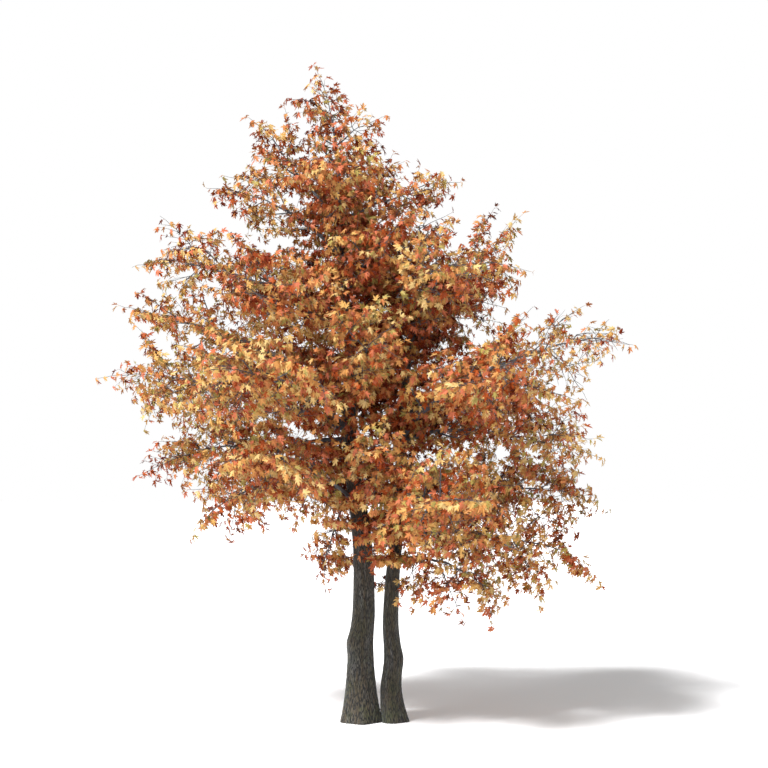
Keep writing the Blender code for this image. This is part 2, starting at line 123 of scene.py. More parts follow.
def course_at(stem, height):
    """The point of a stem's axis at a height, on a smooth curve through its bends."""
    bends = [Vector((x, y, z)) for z, x, y in stem.course]
    start = min(max(sum(height >= bend.z for bend in bends) - 1, 0), len(bends) - 2)

    def slope(k):
        before = bends[max(k - 1, 0)]
        after = bends[min(k + 1, len(bends) - 1)]
        return (after - before) / (after.z - before.z)

    span = bends[start + 1].z - bends[start].z
    t = (height - bends[start].z) / span
    point = (
        bends[start] * (2 * t**3 - 3 * t**2 + 1)
        + slope(start) * span * (t**3 - 2 * t**2 + t)
        + bends[start + 1] * (3 * t**2 - 2 * t**3)
        + slope(start + 1) * span * (t**3 - t**2)
    )
    return Vector((point.x, point.y, height))


def stem_radius(stem, height):
    """Radius of a stem at a height: the tapering bole and the flare of the foot."""
    bole = stem.girth * (1 - height / stem.full_height) ** TAPER
    return bole + stem.flare * math.exp(-height / stem.flare_height)


def store(mesh, name, kind, values):
    """Stores a named value at each point of a mesh."""
    field = "vector" if kind == "FLOAT_VECTOR" else "value"
    mesh.attributes.new(name, kind, "POINT").data.foreach_set(field, values)


def stem_surface(name, side):
    """The smooth surface under a stem's bark, with the place of each point in the bark's pattern.
    side is -1 left of the seam and 1 right of it."""
    stem = STEMS[name]
    sides = round(2 * math.pi * stem.girth / FACE_WIDTH)
    heights = [0.0]
    while heights[-1] < stem.top:
        face_height = np.interp(heights[-1] / stem.top, (0, 1), FACE_HEIGHTS)
        heights.append(min(heights[-1] + face_height, stem.top))
    angles = np.linspace(0, 2 * math.pi, sides, endpoint=False)
    ways = np.stack([np.cos(angles), np.sin(angles), np.zeros(sides)], 1)
    knee_height, knee_heading, knee_size = stem.knee
    to_knee = np.clip(ways @ np.array(level(knee_heading)), 0, 1) ** 2
    points = []
    places = []
    for height in heights:
        depth = LOBE_DEPTH * math.exp(-height / stem.flare_height)
        radius = stem_radius(stem, height) * (1 + depth * np.cos(stem.lobes * angles + LOBE_TURN))
        bulge = math.exp(-(((height - knee_height) / KNEE_SPREAD) ** 2))
        radius = radius + knee_size * bulge * to_knee
        ring = np.array(course_at(stem, height)) + ways * radius[:, None]
        ring[:, 0] = side * np.maximum(side * ring[:, 0], side * SEAM_X)
        points.append(ring)
        places.append(ways * PATTERN_GIRTH + [0, side * PATTERN_SHIFT, height])
    corners = np.arange(sides)
    after = (corners + 1) % sides
    faces = [list(corners[::-1]), list(corners + sides * (len(heights) - 1))]
    for ring in range(len(heights) - 1):
        low = corners + sides * ring
        next_low = after + sides * ring
        faces += np.stack([low, next_low, next_low + sides, low + sides], 1).tolist()
    mesh = bpy.data.meshes.new(name)
    mesh.from_pydata(np.concatenate(points).tolist(), [], faces)
    store(mesh, "bark_place", "FLOAT_VECTOR", np.concatenate(places).astype(np.float32).ravel())
    radii = np.repeat([stem_radius(stem, height) for height in heights], sides)
    store(mesh, "thickness", "FLOAT", radii.astype(np.float32))
    return mesh


def give(tree, made, inputs):
    """Sets inputs of a node, by name or number, to values or to other sockets."""
    for key, value in inputs.items():
        if isinstance(value, bpy.types.NodeSocket):
            tree.links.new(value, made.inputs[key])
        else:
            made.inputs[key].default_value = value


def node(tree, kind, inputs={}, **settings):
    """A node with its settings and inputs."""
    made = tree.nodes.new(kind)
    for key, value in settings.items():
        setattr(made, key, value)
    give(tree, made, inputs)
    return made


def number_math(tree, operation, *values):
    """A step of arithmetic on numbers."""
    inputs = dict(enumerate(values))
    return node(tree, "ShaderNodeMath", inputs, operation=operation).outputs[0]


def vector_math(tree, operation, *values):
    """A step of arithmetic on vectors. To scale one takes the vector and a number."""
    keys = (0, "Scale") if operation == "SCALE" else (0, 1, 2)
    inputs = dict(zip(keys, values))
    return node(tree, "ShaderNodeVectorMath", inputs, operation=operation).outputs[0]


def noisy(tree, place, scale, detail):
    """The node of a noise at a place."""
    return node(tree, "ShaderNodeTexNoise", {"Vector": place, "Scale": scale, "Detail": detail})


def ramp(tree, value, start, end, low=0.0, high=1.0, **settings):
    """Goes from low to high as a value goes from start to end."""
    inputs = {"Value": value, "From Min": start, "From Max": end, "To Min": low, "To Max": high}
    return node(tree, "ShaderNodeMapRange", inputs, **settings).outputs["Result"]


def plates(tree, place):
    """The bark at a place in its pattern, 0 in the fissures and 1 on the plates, and the place as
    it is bent."""
    width, length = PLATE
    scaled = vector_math(tree, "MULTIPLY", place, (1 / width, 1 / width, 1 / length))
    bend = noisy(tree, scaled, BEND_SCALE, 3.0).outputs["Color"]
    centred = vector_math(tree, "SUBTRACT", bend, (0.5, 0.5, 0.5))
    warped = vector_math(tree, "MULTIPLY_ADD", centred, (PLATE_BEND,) * 3, scaled)
    inputs = {"Vector": warped, "Scale": 1.0}
    cells = node(tree, "ShaderNodeTexVoronoi", inputs, feature="DISTANCE_TO_EDGE")
    edge = cells.outputs["Distance"]
    return ramp(tree, edge, 0.0, FISSURE, interpolation_type="SMOOTHSTEP"), warped


def new_tree(name, inputs):
    """An empty geometry tree with named inputs, each with its kind of socket."""
    tree = bpy.data.node_groups.new(name, "GeometryNodeTree")
    for way in ("OUTPUT", "INPUT"):
        tree.interface.new_socket("Geometry", in_out=way, socket_type="NodeSocketGeometry")
    for label, kind in inputs.items():
        tree.interface.new_socket(label, in_out="INPUT", socket_type="NodeSocket" + kind)
    return tree


def grown(piece, tree, values):
    """Replaces a piece's mesh by what a geometry tree makes of it with these inputs."""
    modifier = piece.modifiers.new(tree.name, "NODES")
    modifier.node_group = tree
    for socket in tree.interface.items_tree:
        if socket.in_out == "INPUT" and socket.name in values:
            modifier[socket.identifier] = values[socket.name]
    graph = bpy.context.evaluated_depsgraph_get()
    graph.update()
    mesh = bpy.data.meshes.new_from_object(piece.evaluated_get(graph), depsgraph=graph)
    piece.modifiers.clear()
    piece.data = mesh
    return piece


def put(name, mesh):
    """A piece at the origin, with its place in its mesh."""
    mesh.name = name
    piece = bpy.data.objects.new(name, mesh)
    bpy.context.scene.collection.objects.link(piece)
    return piece


def attribute(tree, name, kind):
    """Reads a named attribute of the points."""
    read = node(tree, "GeometryNodeInputNamedAttribute", {"Name": name}, data_type=kind)
    return read.outputs["Attribute"]


def relief(tree, surface, depth_share):
    """Raises the plates of the bark and sinks its fissures, but not below the ground."""
    raised, warped = plates(tree, attribute(tree, "bark_place", "FLOAT_VECTOR"))
    grain = noisy(tree, warped, 3.0, 3.0).outputs[0]
    height = number_math(tree, "MULTIPLY_ADD", grain, GRAIN_SHARE, raised)
    height = number_math(tree, "SUBTRACT", height, SMOOTH_LEVEL)
    depth = number_math(tree, "MULTIPLY", attribute(tree, "thickness", "FLOAT"), depth_share)
    depth = number_math(tree, "MULTIPLY", height, depth)
    offset = vector_math(tree, "SCALE", node(tree, "GeometryNodeInputNormal").outputs[0], depth)
    position = node(tree, "GeometryNodeInputPosition").outputs[0]
    moved = vector_math(tree, "ADD", position, offset)
    above = vector_math(tree, "MAXIMUM", moved, (-100, -100, 0))
    inputs = {"Geometry": surface, "Position": above}
    return node(tree, "GeometryNodeSetPosition", inputs).outputs[0]


def finished(tree, surface, material, smooth=True):
    """Ends a geometry tree: real geometry, shaded smooth or flat, with its material."""
    for kind, inputs in (
        ("GeometryNodeRealizeInstances", {}),
        ("GeometryNodeSetShadeSmooth", {"Shade Smooth": smooth}),
        ("GeometryNodeSetMaterial", {"Material": material}),
    ):
        surface = node(tree, kind, {"Geometry": surface, **inputs}).outputs[0]
    node(tree, "NodeGroupOutput", {0: surface})


def srgb(code):
    """A colour given as in #C8943F, in the linear values that materials take."""
    parts = [int(code[k : k + 2], 16) / 255 for k in (1, 3, 5)]
    return (*[p / 12.92 if p <= 0.04045 else ((p + 0.055) / 1.055) ** 2.4 for p in parts], 1)


def new_material(name, inputs):
    """A material with these inputs of its shader, and the shader."""
    material = bpy.data.materials.new(name)
    material.use_nodes = True
    shader = material.node_tree.nodes["Principled BSDF"]
    give(material.node_tree, shader, inputs)
    return material, shader


def mixed(tree, share, first, second):
    """A mix of two colours."""
    inputs = {0: share, 6: first, 7: second}
    return node(tree, "ShaderNodeMix", inputs, data_type="RGBA").outputs[2]


def bark_material():
    """Plates from brown to grey, greener low down, with nearly black fissures, whose darkness is
    partly that of the bark in them and partly painted shade. Higher up the bark is paler and more
    even: partly the bark of young wood, partly painted light that lifts the upper stems out of the
    crown's shade."""
    sheen = {"Sheen Weight": 0.28, "Sheen Roughness": 0.5, "Sheen Tint": (0.8, 0.9, 1.0, 1)}
    material, shader = new_material("fissured bark", {"Roughness": 0.88, **sheen})
    tree = material.node_tree
    place = node(tree, "ShaderNodeAttribute", attribute_name="bark_place").outputs["Vector"]
    raised, warped = plates(tree, place)
    patches = ramp(tree, noisy(tree, warped, 0.22, 3.0).outputs[0], 0.47, 0.68)
    grain = noisy(tree, warped, 2.6, 5.0).outputs[0]
    grainy = ramp(tree, grain, 0.35, 0.7)
    brown = mixed(tree, grainy, srgb("#1C1710"), srgb("#665A44"))
    grey = mixed(tree, grainy, srgb("#242422"), srgb("#7D7B76"))
    plate = mixed(tree, patches, brown, grey)
    where = node(tree, "ShaderNodeTexCoord").outputs["Object"]
    height = node(tree, "ShaderNodeSeparateXYZ", {0: where}).outputs["Z"]
    damp = ramp(tree, height, 0.1, 2.2, 0.75, 0.0)
    moss = ramp(tree, noisy(tree, where, 4.0, 4.0).outputs[0], 0.45, 0.65)
    plate = mixed(tree, number_math(tree, "MULTIPLY", damp, moss), plate, srgb("#3F4323"))
    # Paler higher up: partly young bark, partly painted light on upper stems in the crown's shade
    younger_and_painted_lit = ramp(tree, height, 2.1, 4.2, 0.0, 0.8)
    plate = mixed(tree, younger_and_painted_lit, plate, srgb("#8A8079"))
    # Near-black fissures low down: darker inner bark with painted shade in the cracks
    fissure_and_painted_shade = mixed(tree, younger_and_painted_lit, srgb("#0B0907"), srgb("#46423F"))
    colour = mixed(tree, raised, fissure_and_painted_shade, plate)
    bump = node(tree, "ShaderNodeBump", {"Height": grain, "Strength": 0.8, "Distance": 0.006})
    give(tree, shader, {"Base Color": colour, "Normal": bump.outputs[0]})
    return material


bark = bark_material()
tree = new_tree("stem bark", {"Depth Share": "Float", "Bark": "Material"})
given = node(tree, "NodeGroupInput").outputs
finished(tree, relief(tree, given["Geometry"], given["Depth Share"]), given["Bark"])
for name, side in zip(STEMS, (-1, 1)):
    stem = put("bark_of_" + name, stem_surface(name, side))
    grown(stem, tree, {"Depth Share": BARK_DEPTH_SHARE, "Bark": bark})
    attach(stem, "root")
    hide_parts(name)

# Boughs and leaders
# Living wood like that of the stems, in thinner and smoother bark. Each limb grows out of its stem
# with a collar at its root, bends and tapers, and carries on as the leader of a mass of leaves.

# A limb leaves its stem at one height with one heading, and its leader ends at a level reach from
# there and a tip height. rise and lift are its slopes at those two ends, bare is the share of it
# that is bough, spread is how far its side twigs stand out, and tint is that of most of its leaves
Limb = namedtuple("Limb", "name stem leaves heading reach tip rise lift bare spread tint")
LEFT, RIGHT = STEMS
LIMBS = [Limb(*row) for row in (
    ("left_peak", LEFT, 6.80, 180, 0.85, 7.85, 48, 60, 0.0, 0.50, "orange"),
    ("left_upper", LEFT, 6.35, 176, 1.30, 7.18, 42, 12, 0.0, 0.56, "gold"),
    ("left_high", LEFT, 5.46, 184, 2.25, 6.22, 30, 14, 0.34, 0.70, "red"),
    ("left_middle", LEFT, 4.40, 176, 2.50, 5.46, 32, 10, 0.28, 0.80, "gold"),
    ("left_lower", LEFT, 3.95, 188, 2.62, 4.66, 22, 6, 0.20, 0.75, "gold"),
    ("left_low", LEFT, 3.80, 172, 2.20, 3.66, -2, -6, 0.20, 0.66, "orange"),
    ("left_drooping", LEFT, 3.60, 192, 1.78, 2.92, -16, -40, 0.26, 0.38, "orange"),
    ("right_peak", LEFT, 6.75, 8, 1.12, 7.30, 42, 30, 0.0, 0.46, "orange"),
    ("right_high", RIGHT, 4.90, 4, 1.12, 6.35, 54, 46, 0.30, 0.60, "red"),
    ("right_long", RIGHT, 4.15, 2, 2.55, 5.18, 27, 8, 0.36, 0.58, "gold"),
    ("right_middle", RIGHT, 3.75, 352, 2.05, 3.74, 28, -10, 0.20, 0.66, "orange"),
    ("right_low", RIGHT, 2.95, 8, 2.14, 3.10, 24, -4, 0.22, 0.70, "orange"),
    ("right_bottom", RIGHT, 2.45, 354, 2.14, 2.34, 16, -14, 0.20, 0.68, "gold"),
    ("right_drooping", RIGHT, 2.20, 318, 1.40, 1.98, 6, -30, 0.18, 0.50, "orange"),
    ("front_top", LEFT, 6.50, 270, 0.90, 7.30, 50, 25, 0.0, 0.60, "orange"),
    ("front_inner_high", LEFT, 5.65, 300, 1.20, 6.45, 48, 15, 0.0, 0.66, "red"),
    ("front_inner_middle", LEFT, 4.25, 282, 1.50, 5.00, 44, 12, 0.0, 0.68, "orange"),
    ("front_inner_low", RIGHT, 2.95, 252, 1.25, 3.50, 40, 8, 0.0, 0.66, "gold"),
    ("front_high_left", LEFT, 5.10, 234, 1.85, 5.62, 36, 6, 0.24, 0.70, "orange"),
    ("front_high_right", RIGHT, 5.15, 286, 1.55, 5.95, 42, 15, 0.0, 0.64, "orange"),
    ("front_middle_left", LEFT, 3.95, 240, 2.50, 4.62, 30, 6, 0.22, 0.78, "gold"),
    ("front_middle_right", RIGHT, 3.85, 304, 2.35, 4.72, 34, 6, 0.20, 0.76, "red"),
    ("front_low_left", LEFT, 2.95, 234, 2.10, 3.58, 28, -4, 0.22, 0.66, "orange"),
    ("front_low_right", RIGHT, 2.60, 290, 2.05, 3.05, 28, -6, 0.22, 0.70, "gold"),
    ("back_top", LEFT, 6.30, 88, 1.00, 7.20, 50, 25, 0.0, 0.62, "red"),
    ("back_inner_high", LEFT, 5.50, 58, 1.25, 6.30, 48, 15, 0.0, 0.64, "orange"),
    ("back_inner_middle", RIGHT, 4.40, 104, 1.35, 5.20, 46, 12, 0.0, 0.68, "red"),
    ("back_high_left", LEFT, 5.35, 134, 1.90, 6.10, 38, 12, 0.26, 0.70, "orange"),
    ("back_high_right", RIGHT, 5.05, 66, 1.65, 5.90, 42, 15, 0.0, 0.64, "gold"),
    ("back_middle_left", LEFT, 4.15, 122, 2.55, 4.95, 30, 6, 0.24, 0.78, "red"),
    ("back_middle_right", RIGHT, 3.75, 56, 2.40, 4.50, 32, 6, 0.24, 0.76, "orange"),
    ("back_low_left", LEFT, 2.95, 138, 2.10, 3.50, 28, -4, 0.22, 0.72, "gold"),
    ("back_low_right", RIGHT, 2.55, 46, 2.00, 2.95, 28, -8, 0.22, 0.70, "red"),
    ("left_shoots", LEFT, 2.98, 190, 0.42, 2.26, 0, -62, 0.0, 0.22, "gold"),
    ("middle_shoots", RIGHT, 2.90, 236, 0.60, 2.42, 0, -50, 0.0, 0.22, "orange"),
)]
# A leader carries each stem on from its cut tip, to a tip of its own
Top = namedtuple("Top", "name stem x y height spread tint")
TOPS = (
    Top("left_crown", LEFT, -0.44, 0.05, 8.36, 0.50, "orange"),
    Top("right_crown", RIGHT, 0.80, 0.0, 6.64, 0.48, "red"),
)

# How far along its chord a limb keeps to its slope at its root and at its tip
ROOT_HOLD = 0.36
TIP_HOLD = 0.34
CURVE_STEPS = 40
LEADER_STRETCHES = 3
# The radius of a limb's root, least and for a metre of chord, and its fall to the leader's tip
BOUGH_ROOT_RADIUS = 0.014
BOUGH_RADIUS_PER_METRE = 0.0085
LEADER_TIP_RADIUS = 0.006
LIMB_TAPER = 0.9
# How much thicker a limb is at its collar, and how far the collar reaches
COLLAR = 0.7
COLLAR_REACH = 0.10
# The small bends of a limb: their size, their radians to a metre, how far from its root they are
# full, and over what share of its tip they fade
LIMB_BEND = 0.012
BENDS_ACROSS = 9
BENDS_UP = 13
BENDS_FROM = 0.3
BENDS_FADE = 1 / 4
LIMB_POINT_SPACING = 0.05
LIMB_SIDES = 14
# The pattern of a limb's bark is drawn as if it were this thick
LIMB_PATTERN_GIRTH = 0.055
LIMB_BARK_DEPTH_SHARE = 0.05


def swung(way, towards, degrees):
    """A direction swung towards another at right angles to it."""
    turn = math.radians(degrees)
    return way * math.cos(turn) + towards * math.sin(turn)


def sloped(heading, slope):
    """The direction with this heading that rises at this slope."""
    return swung(level(heading), UP, slope)


def bezier(controls, t):
    """A point of the Bezier curve with these control points."""
    while len(controls) > 1:
        controls = [a.lerp(b, t) for a, b in zip(controls, controls[1:])]
    return controls[0]


def along_path(path, share):
    """The point this share of the way along a path of straight stretches."""
    stretch = min(int(share * (len(path) - 1)), len(path) - 2)
    return path[stretch].lerp(path[stretch + 1], share * (len(path) - 1) - stretch)


def path_length(path):
    return sum((b - a).length for a, b in zip(path, path[1:]))


class Branch:
    """A limb, or the leader on top of a stem: a tapering curve with a bare share, whose leader is
    a path of a few straight stretches."""

    def __init__(self, name, controls, bare, spread, radius, tint):
        self.name = name
        self.controls = controls
        self.bare = bare
        self.spread = spread
        self.radius = radius
        self.tint = tint
        curve = [bezier(controls, k / CURVE_STEPS) for k in range(CURVE_STEPS + 1)]
        self.length = path_length(curve)
        ends = [bare + (1 - bare) * k / LEADER_STRETCHES for k in range(LEADER_STRETCHES + 1)]
        self.leader = [bezier(controls, t) for t in ends]

    def at(self, t):
        if t <= self.bare:
            return bezier(self.controls, t)
        return along_path(self.leader, (t - self.bare) / (1 - self.bare))

    def way(self, t):
        return (self.at(min(t + 0.01, 1.0)) - self.at(max(t - 0.01, 0.0))).normalized()

    def radius_at(self, t):
        left = (1 - min(t, 1)) ** LIMB_TAPER
        return LEADER_TIP_RADIUS + (self.radius - LEADER_TIP_RADIUS) * left


def limb_branch(limb):
    """The curve of a limb, from its stem's axis to the end of its leader."""
    start = course_at(STEMS[limb.stem], limb.leaves)
    end = start + level(limb.heading) * limb.reach
    end.z = limb.tip
    chord = (end - start).length
    controls = [
        start,
        start + sloped(limb.heading, limb.rise) * chord * ROOT_HOLD,
        end - sloped(limb.heading, limb.lift) * chord * TIP_HOLD,
        end,
    ]
    radius = BOUGH_ROOT_RADIUS + BOUGH_RADIUS_PER_METRE * chord
    return Branch(limb.name, controls, limb.bare, limb.spread, radius, limb.tint)


def top_branch(top):
    """The leader that carries a stem on from its cut tip."""
    stem = STEMS[top.stem]
    start = course_at(stem, stem.top)
    way = (start - course_at(stem, stem.top - 0.1)).normalized()
    end = Vector((top.x, top.y, top.height))
    middle = start + way * (end - start).length * 0.5
    radius = stem_radius(stem, stem.top)
    return Branch(top.name, [start, middle, end], 0.0, top.spread, radius, top.tint)


class Wood:
    """Lines of wood to be made round: points with a radius each, joined into paths."""

    def __init__(self):
        self.points = []
        self.girths = []
        self.edges = []

    def add(self, path, girths):
        first = len(self.points)
        self.points += [tuple(point) for point in path]
        self.girths += girths
        self.edges += [(k, k + 1) for k in range(first, first + len(path) - 1)]

    def mesh(self, name):
        mesh = bpy.data.meshes.new(name)
        mesh.from_pydata(self.points, self.edges, [])
        store(mesh, "thickness", "FLOAT", self.girths)
        return mesh


def captured(tree, geometry, kind, value):
    """Keeps a value at each point of a geometry, and gives both."""
    kept = node(tree, "GeometryNodeCaptureAttribute")
    kept.capture_items.new(kind, "Kept")
    give(tree, kept, {"Geometry": geometry, "Kept": value})
    return kept.outputs


def wood_round_lines():
    """The tree that makes lines of wood round, with the bark's pattern wound round them."""
    kinds = {"Sides": "Int", "Depth Share": "Float", "Pattern Girth": "Float", "Bark": "Material"}
    tree = new_tree("wood round lines", kinds)
    given = node(tree, "NodeGroupInput").outputs
    lines = node(tree, "GeometryNodeMeshToCurve", {"Mesh": given["Geometry"]})
    length = node(tree, "GeometryNodeSplineParameter").outputs["Length"]
    along = captured(tree, lines.outputs[0], "FLOAT", length)
    circle = node(tree, "GeometryNodeCurvePrimitiveCircle", {"Resolution": given["Sides"]})
    position = node(tree, "GeometryNodeInputPosition").outputs[0]
    around = captured(tree, circle.outputs[0], "VECTOR", position)
    swept = node(
        tree, "GeometryNodeCurveToMesh",
        {
            "Curve": along["Geometry"],
            "Profile Curve": around["Geometry"],
            "Scale": attribute(tree, "thickness", "FLOAT"),
            "Fill Caps": True,
        },
    )
    wound = vector_math(tree, "SCALE", around["Kept"], given["Pattern Girth"])
    rise = node(tree, "ShaderNodeCombineXYZ", {"Z": along["Kept"]}).outputs[0]
    place = vector_math(tree, "ADD", wound, rise)
    stored = node(
        tree, "GeometryNodeStoreNamedAttribute",
        {"Geometry": swept.outputs[0], "Name": "bark_place", "Value": place},
        data_type="FLOAT_VECTOR",
    )
    finished(tree, relief(tree, stored.outputs[0], given["Depth Share"]), given["Bark"])
    return tree


def limb_path(branch, depth, draw):
    """The line of a limb, with small bends, and its radii. depth is how deep in its stem it
    starts, below its collar, or None for a leader that carries its stem on."""
    count = round(branch.length / LIMB_POINT_SPACING)
    across = branch.way(0.5).cross(UP).normalized()
    waves = [draw.uniform(0, 2 * math.pi) for _ in range(2)]
    path = []
    radii = []
    for k in range(count + 1):
        t = k / count
        along = t * branch.length
        bend = LIMB_BEND * min(1, along / BENDS_FROM) * min(1, (1 - t) / BENDS_FADE)
        aside = across * math.sin(along * BENDS_ACROSS + waves[0])
        aside += UP * math.sin(along * BENDS_UP + waves[1])
        path.append(bezier(branch.controls, t) + aside * bend)
        collar = 0 if depth is None else math.exp(-(((along - depth) / COLLAR_REACH) ** 2))
        radii.append(branch.radius_at(t) * (1 + COLLAR * collar))
    return path, radii


def wood_piece(name, lines, sides, bark):
    """The piece that lines of wood make when they are round."""
    wood = put(name, lines.mesh(name))
    values = {"Pattern Girth": LIMB_PATTERN_GIRTH, "Depth Share": LIMB_BARK_DEPTH_SHARE}
    return grown(wood, round_wood, {"Sides": sides, "Bark": bark, **values})


def smooth_bark_material(name, dark, light):
    """Thin smooth bark, lighter here and there."""
    material, shader = new_material(name, {"Roughness": 0.7})
    tree = material.node_tree
    where = node(tree, "ShaderNodeTexCoord").outputs["Object"]
    patches = noisy(tree, where, 9.0, 3.0).outputs[0]
    colour = mixed(tree, patches, srgb(dark), srgb(light))
    give(tree, shader, {"Base Color": colour})
    return material


branches = [*map(limb_branch, LIMBS), *map(top_branch, TOPS)]
boughs = [limb.name + "_bough" for limb in LIMBS if limb.bare]
masses = [branch.name + "_leaves" for branch in branches]
limbs = Wood()
draw = random.Random("limbs")
depths = [stem_radius(STEMS[limb.stem], limb.leaves) for limb in LIMBS] + [None, None]
for branch, depth in zip(branches, depths):
    limbs.add(*limb_path(branch, depth, draw))
round_wood = wood_round_lines()
grey_bark = smooth_bark_material("grey bark of limbs", "#323234", "#7D8086")
limbs = wood_piece("boughs_and_leaders", limbs, LIMB_SIDES, grey_bark)
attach(limbs, "root")
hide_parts(*boughs, *masses)

# Twigs
# Side twigs fork off each leader in opposite pairs, and each ends in a fan of three sprays. A
# spray is a shoot that forks again, always in pairs. Shorter shoots fill the crown between the
# sprays. All are living wood in thin bark, which is darker on the shoots.

# Branchlets: the distance between pairs, how far they fork off the leader, how far the turn of a
# pair round it strays, how short a twig is that stands upright, and how thick one is at its fork
PAIR_SPACING = 0.36
TWIG_FORK = 54
TURN_STRAY = 30
TWIG_FORK_STRAY = 6
TWIG_LENGTHS = (0.85, 1.15)
UPRIGHT_SHARE = 0.66
TWIG_RADIUS = 0.007
# Where along the leader twigs are longest, and how they shorten towards its two ends
SWELL_FROM = 0.30
SWELL_OVER = 0.55
# The twig that carries the leader on beyond its tip, and how deep it is sunk in it
END_TWIG = 0.10
SUNK = 0.03

# Fans of sprays: how far a fan droops and rolls as a whole, and each spray within it
FAN_DROOPS = (-5, 38)
FAN_ROLL = 45
SPRAY_LENGTH = 0.66
SPRAY_LENGTHS = (0.85, 1.12)
SPRAY_FORK = 75
SPRAY_FORK_STRAY = 3
SPRAY_DROOP = 12
SPRAY_ROLL = 16
# Sprays are shorter in a mass whose spread is less than this
FULL_SPREAD = 0.64
# A spray with no room is shortened once or twice, or else left out
SHORTER = (1.0, 0.84, 0.68)
# A spray's outline, as shares of its length along and across: side lobe and notch, and its sag
LOBE = (0.54, 0.38)
NOTCH = (0.66, 0.21)
SAG = 0.10

# How near a spray may come to the space of the next mass, and to a bare limb
SPACE_MARGIN = 0.03
LIMB_MARGIN = 0.05
# How many branchlets are tried at each place, and how near the sprays of two may come
TRIES = 3
ELBOW_ROOM = 0.06


def turned(vector, axis, degrees):
    """A vector turned about a unit axis."""
    return Quaternion(axis, math.radians(degrees)) @ vector


class Branchlet:
    """A twig from its root to a fork, and the sprays that fan out there, from right to left. Each
    spray is the way that it points, the way that it faces, and its length."""

    def __init__(self, root, fork, upright, size, draw):
        along = (fork - root).normalized()
        face = (upright - along * upright.dot(along)).normalized()
        face = turned(face, along, draw.uniform(-FAN_ROLL, FAN_ROLL))
        across = along.cross(face)
        droop = draw.uniform(*FAN_DROOPS)
        along = turned(along, across, -droop)
        fan = turned(face, across, -droop)
        self.root = root
        self.fork = fork
        self.sprays = []
        for side in (1, 0, -1):
            turn = SPRAY_FORK + draw.uniform(-SPRAY_FORK_STRAY, SPRAY_FORK_STRAY)
            way = turned(along, fan, -side * turn)
            tilt = way.cross(fan)
            droop = draw.uniform(-SPRAY_DROOP, SPRAY_DROOP)
            way = turned(way, tilt, -droop)
            roll = draw.uniform(-SPRAY_ROLL, SPRAY_ROLL)
            face = turned(turned(fan, tilt, -droop), way, roll)
            self.sprays.append((way, face, size * draw.uniform(*SPRAY_LENGTHS)))

    def outline(self, spray):
        """The rim of a spray, from its right lobe to its left one."""
        way, face, length = spray
        across = way.cross(face)
        rim = []
        for along, aside in (LOBE, NOTCH, (1, 0), (NOTCH[0], -NOTCH[1]), (LOBE[0], -LOBE[1])):
            sag = SAG * (along**2 + aside**2)
            rim.append(self.fork + (way * along + across * aside - face * sag) * length)
        return rim

    def fit(self, name, crown, taken):
        """Shortens or drops sprays until the rest have room, also from the points taken."""
        twig = [self.root.lerp(self.fork, share) for share in (0, 0.25, 0.5, 0.75, 1)]
        tried = self.sprays if crown.has_room(name, twig) else []
        self.sprays = []
        self.points = []
        for way, face, length in tried:
            for share in SHORTER:
                spray = (way, face, length * share)
                points = spray_samples(self.fork, self.outline(spray))
                room = crown.has_room(name, points)
                if room and (not taken or distances(points, taken).min() > ELBOW_ROOM):
                    self.sprays.append(spray)
                    self.points += points
                    break

    def size(self):
        """How much of the crown the sprays fill."""
        return sum(length**2 for way, face, length in self.sprays)


def spray_samples(fork, rim):
    """Points all over a spray, near enough to each other that no limb passes between them."""
    edge = [a.lerp(b, share) for a, b in zip(rim, rim[1:]) for share in (0, 0.5)]
    return [fork.lerp(p, share) for p in [*edge, rim[-1]] for share in (0.2, 0.4, 0.6, 0.8, 1)]


def distances(points, others):
    """The distance of each of some points from each of others."""
    return np.linalg.norm(np.array(points)[:, None] - np.array(others)[None], axis=2)


def branchlet_places(branch):
    """Where the branchlets of a mass may grow, as shares of the leader and turns: one carries it
    on, without a turn, and others stand in opposite pairs, each turned a quarter from the last."""
    pairs = max(2, round(branch.length * (1 - branch.bare) / PAIR_SPACING))
    places = [(1, None)]
    for pair in range(pairs):
        places += [((pair + 0.3) / pairs, 90 * (pair % 2) + side) for side in (0, 180)]
    return places


def branchlet_at(branch, share, turn, draw):
    """A branchlet at one place of a leader."""
    t = branch.bare + (1 - branch.bare) * share
    root = branch.at(t)
    along = branch.way(t)
    size = SPRAY_LENGTH * min(1, 1 - FULL_SPREAD + branch.spread)
    if turn is None:
        return Branchlet(root - along * SUNK, root + along * END_TWIG, UP, size, draw)
    across = along.cross(UP).normalized()
    over = across.cross(along)
    turn += draw.uniform(-TURN_STRAY, TURN_STRAY)
    swell = math.sin(math.pi * (SWELL_FROM + SWELL_OVER * share))
    upright = 1 - (1 - UPRIGHT_SHARE) * math.sin(math.radians(turn)) ** 2
    length = branch.spread * swell * upright * draw.uniform(*TWIG_LENGTHS)
    fork = TWIG_FORK + draw.uniform(-TWIG_FORK_STRAY, TWIG_FORK_STRAY)
    away = swung(along, swung(across, over, turn), fork)
    return Branchlet(root, root + away * length, UP - along * 0.5, size, draw)


def branchlets(branch, crown):
    """The branchlets of a mass: at each place the one of a few that fills most."""
    draw = random.Random(branch.name)
    found = []
    taken = []
    for share, turn in branchlet_places(branch):
        tries = [branchlet_at(branch, share, turn, draw) for _ in range(TRIES)]
        for branchlet in tries:
            branchlet.fit(branch.name, crown, taken)
        best = max(tries, key=Branchlet.size)
        if best.sprays:
            found.append(best)
            taken += best.points
    return found


